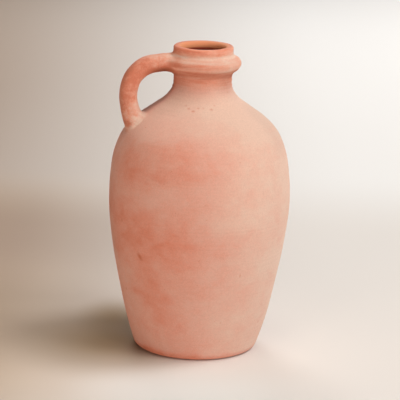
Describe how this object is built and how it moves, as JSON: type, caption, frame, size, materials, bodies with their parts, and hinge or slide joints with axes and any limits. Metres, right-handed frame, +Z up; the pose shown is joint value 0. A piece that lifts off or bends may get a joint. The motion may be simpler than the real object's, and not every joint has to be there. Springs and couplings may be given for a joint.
{
  "type": "ceramic pitcher",
  "caption": "Unglazed terracotta jug with an ovoid body, a short neck with a collar ring and a rounded lip, and one loop handle from the collar to the shoulder.",
  "frame": {"origin": "centre of the flat face of the foot, on the wheel axis", "axes": "+Z up along the wheel axis, -X towards the handle"},
  "size_m": [0.1948, 0.1948, 0.33],
  "materials": {
    "terracotta": "unglazed, matte, with a pale mottled bloom",
    "terracotta_rubbed": "unglazed, matte, smoothed with a wet sponge",
    "luting_clay": "unglazed, matte, smeared by hand"
  },
  "bodies": {
    "root": {"foot_slab": "terracotta", "lower_body": "terracotta", "shoulder": "terracotta", "neck": "terracotta", "collar_ring": "terracotta_rubbed", "lip": "terracotta_rubbed", "handle": "terracotta_rubbed", "upper_handle_luting": "luting_clay", "lower_handle_luting": "luting_clay"}
  },
  "joints": []
}
